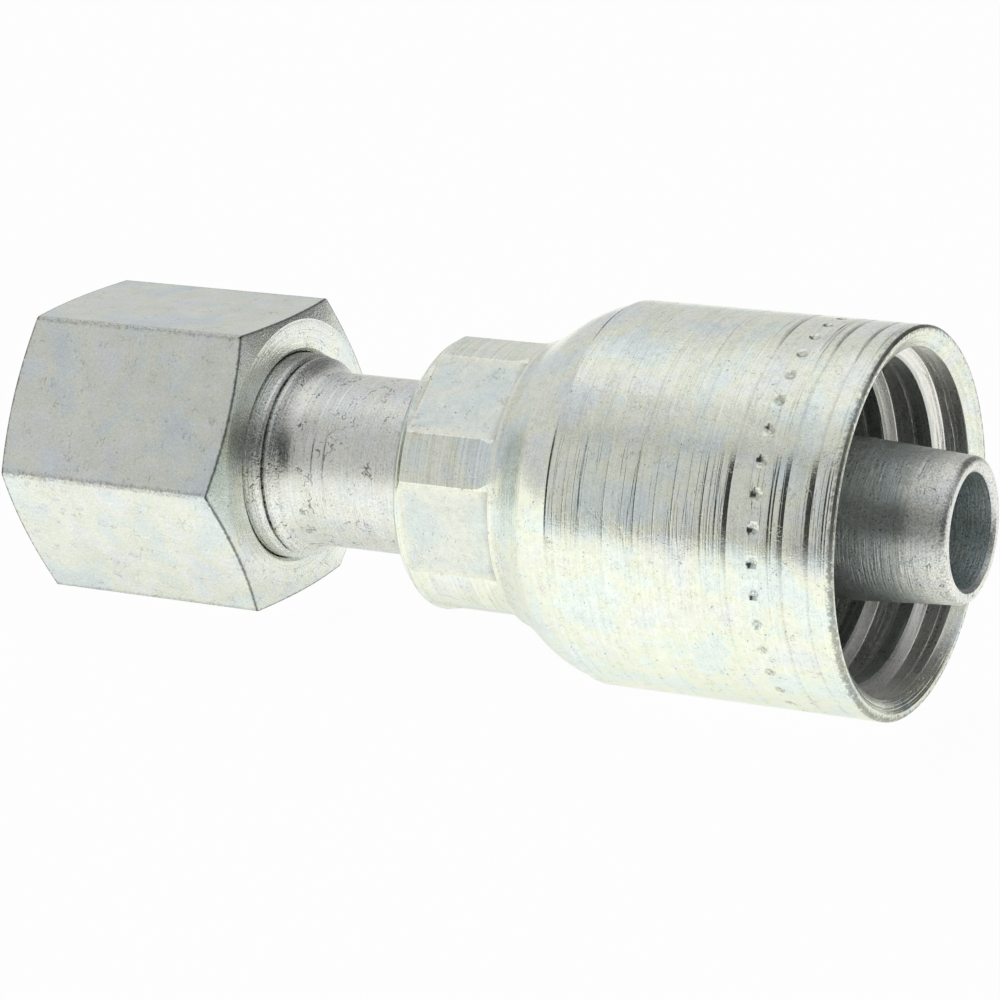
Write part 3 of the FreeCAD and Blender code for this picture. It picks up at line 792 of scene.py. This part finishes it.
def shell_steel():
    """The shell's turned steel: many tool marks round the barrel, pale flats, cloudy faint colours."""
    steel = PlatedSteel("shell_plating")
    broad = steel.turning(1.6, 0.4)
    coarse = steel.turning(0.5, 0.3)
    fine = steel.turning(0.16, 0.7, 2.0)
    rings = steel.facing(5.0, 0.8)
    grain = steel.grain()
    cloud = steel.clouds(3.0)
    mottle = steel.clouds(0.7, 3.0)
    pits = steel.pits(0.28, 0.69)
    crackle = steel.crackle(0.8)
    barrel = steel.station.ramp(BARREL_END - 0.1, BARREL_END)
    collar = steel.station.ramp(COLLAR_END - 0.3, COLLAR_END + 0.6, 1, 0)
    inside = (steel.radius.ramp(LIP_R + 0.3, LIP_R + 0.7, 1, 0) * barrel
              * steel.station.ramp(MOUTH - 0.85, MOUTH - 0.7, 1, 0))
    outside = 1 - inside
    on_flat, rim = collar_flat(steel)
    turned = 1 - on_flat
    # Painted shade at the foot of the flats and on the fillet, and a painted highlight on the strip between
    foot, pale_strip_highlight, fillet = collar_end(steel, on_flat)
    # Painted shade in the barrel's grooves and dimples
    sunk, dimple_shade = barrel_dents(steel, barrel * outside)
    worn, face = shell_mouth(steel)
    lines = abs(broad).ramp(0.0, 0.02, 1, 0) * barrel
    shade = (1.0 + (grain * (0.6 - on_flat * 0.25) + mottle * 0.3) * outside + grain * inside * 0.5
             + fine * (0.25 + inside * 0.4 + collar * 0.45) * turned + rings * face * 0.3 + cloud * 0.14
             - lines * 0.05 - sunk * 0.12 - dimple_shade * (0.15 - grain) - worn * 0.45
             - (pits * 0.35 + crackle * 0.16) * outside - on_flat * 0.1 - foot * 0.25 - fillet * 0.1)
    height = (fine * (0.7 + inside * 0.7) * turned + rings * face * 3.0 + (coarse + broad) * 0.8 * barrel
              - lines * 0.5 + grain * 0.5 + mottle * 0.4 + cloud * 1.0 - (pits + crackle * 0.4) * outside)
    roughness = 0.21 + grain * 0.2 + cloud * 0.12 + worn * 0.15 + inside * 0.08
    outer = steel.blend(1.0, (0.90, 0.93, 0.89, 1), steel.rainbow(4.5, 1.0), "MULTIPLY")
    # Painted shade and painted highlight on the teeth inside the barrel
    plated = steel.blend(inside, outer, hose_side_colour(steel))
    pale = steel.tint(cloud + 0.5, [(0.38, (0.76, 0.86, 0.88)), (0.6, (0.86, 0.89, 0.84))])
    milled = steel.blend(on_flat * 0.7, plated, pale)
    # Cream painted highlight along the flats' edges and on the strip after them
    colour = steel.blend(rim.most(pale_strip_highlight) * 0.8, milled, (0.95, 0.95, 0.83, 1))
    return steel.finish(colour, shade, height, roughness)


# Surroundings

class PaleFloor(Surface):
    """White for the camera; in the metal it is a lit table with a dim room beyond its far edge."""

    def __init__(self):
        self.material = bpy.data.materials.new("pale_floor")
        self.material.use_nodes = True
        super().__init__(self.material.node_tree)
        rays = self.node("ShaderNodeLightPath")
        matt = self.node("ShaderNodeBsdfDiffuse", None, {"Color": (0.9, 0.9, 0.88, 1)})
        objects = self.node("ShaderNodeTexCoord").socket("Object")
        beyond = self.along(objects, TABLE_EDGE).ramp(0.07, 0.17)
        dark = self.along(objects, DARK_SIDE).ramp(0.02, 0.038)
        room = self.blend(dark, (0.42, 0.42, 0.42, 1), (0.05, 0.05, 0.055, 1))
        lit = self.blend(beyond, (0.98, 0.98, 0.94, 1), room)
        white = self.blend(rays.value("Is Camera Ray"), lit, (1, 1, 1, 1))
        glow = self.node("ShaderNodeEmission", None,
                         {"Color": white, "Strength": 1.0 + rays.value("Is Glossy Ray") * 0.65})
        under = self.node("ShaderNodeSeparateXYZ", None, {"Vector": objects})
        clear = abs(under.value("Y")).ramp(0.004, 0.014).most(abs(under.value("X")).ramp(0.045, 0.055))
        seen = rays.value("Is Camera Ray") * 0.97 + rays.value("Is Glossy Ray") * (0.38 + clear * 0.12)
        mixed = self.node("ShaderNodeMixShader", None, {0: seen, 1: matt.socket(), 2: glow.socket()})
        self.node("ShaderNodeOutputMaterial", None, {"Surface": mixed.socket()})


def make_floor():
    """A pale floor that stays white for the camera and in the metal, and keeps a soft shadow."""
    surface = PaleFloor()
    plane = bmesh.new()
    bmesh.ops.create_circle(plane, cap_ends=True, segments=64, radius=FLOOR_R)
    mesh = bpy.data.meshes.new("floor")
    plane.to_mesh(mesh)
    plane.free()
    mesh.materials.append(surface.material)
    floor = bpy.data.objects.new("floor", mesh)
    bpy.context.scene.collection.objects.link(floor)


def make_surroundings():
    """White all round, with a dimmer room in front and the dark beside the camera, for the metal."""
    world = bpy.data.worlds.new("studio")
    bpy.context.scene.world = world
    world.use_nodes = True
    sky = Surface(world.node_tree)
    way = sky.node("ShaderNodeTexCoord").socket("Generated")
    apart = sky.node("ShaderNodeSeparateXYZ", None, {"Vector": way})
    x, y, rise = (apart.value(axis) for axis in "XYZ")
    level = (x * x + y * y).power(0.5)
    low = rise.ramp(0.64, 0.75, 1, 0)
    near_half = (y / level).ramp(-0.1, 0.12, 1, 0)
    front = near_half * low
    dark = (sky.along(way, DARK_SIDE) / level).ramp(0.1, 0.32) * front
    corner = sky.along(way, DIM_CORNER).ramp(0.75, 0.92)
    frame_edge = rise.ramp(0.58, 0.67) * rise.ramp(0.69, 0.78, 1, 0) * near_half
    light = 0.66 * (1 - front * 0.08) * (1 - frame_edge * 0.25) * (1 - dark * 0.94) * (1 - corner * 0.8)
    seen = sky.node("ShaderNodeLightPath").value("Is Camera Ray")
    strength = seen + (1 - seen) * light
    shine = sky.node("ShaderNodeBackground", None, {"Color": (1, 1, 1, 1), "Strength": strength})
    sky.node("ShaderNodeOutputWorld", None, {"Surface": shine.socket()})


# Camera and lamp

def make_camera():
    """The camera of the photo, which looks down a little on the fitting's side and mouth."""
    data = bpy.data.cameras.new("camera")
    data.sensor_width = 36
    data.lens = LENS_IN_PIXELS / PICTURE * data.sensor_width
    data.clip_start = 0.01
    camera = bpy.data.objects.new("camera", data)
    turned = (Matrix.Rotation(VIEW_TURN, 4, "Z") @ Matrix.Rotation(math.radians(90) - VIEW_RISE, 4, "X")
              @ Matrix.Rotation(VIEW_ROLL, 4, "Z"))
    camera.matrix_world = Matrix.Translation(CAMERA_PLACE) @ turned
    bpy.context.scene.collection.objects.link(camera)
    bpy.context.scene.camera = camera


def make_lamp(name, place, size, watts):
    """A square softbox that looks at the fitting, with its place and size in metres."""
    data = bpy.data.lights.new(name, "AREA")
    data.shape = "SQUARE"
    data.size = size
    data.energy = watts
    lamp = bpy.data.objects.new(name, data)
    aim = Vector((0, 0, 0.015)) - Vector(place)
    lamp.matrix_world = Matrix.Translation(place) @ aim.to_track_quat("-Z", "Y").to_matrix().to_4x4()
    bpy.context.scene.collection.objects.link(lamp)


# The fitting and its studio

make_nut(nut_steel())
make_stem(stem_steel())
make_shell(shell_steel())
make_floor()
make_surroundings()
make_camera()
make_lamp("overhead_softbox", (-0.15, 0.1, 0.9), 0.8, 0.4)
bpy.context.scene.view_settings.view_transform = "Standard"
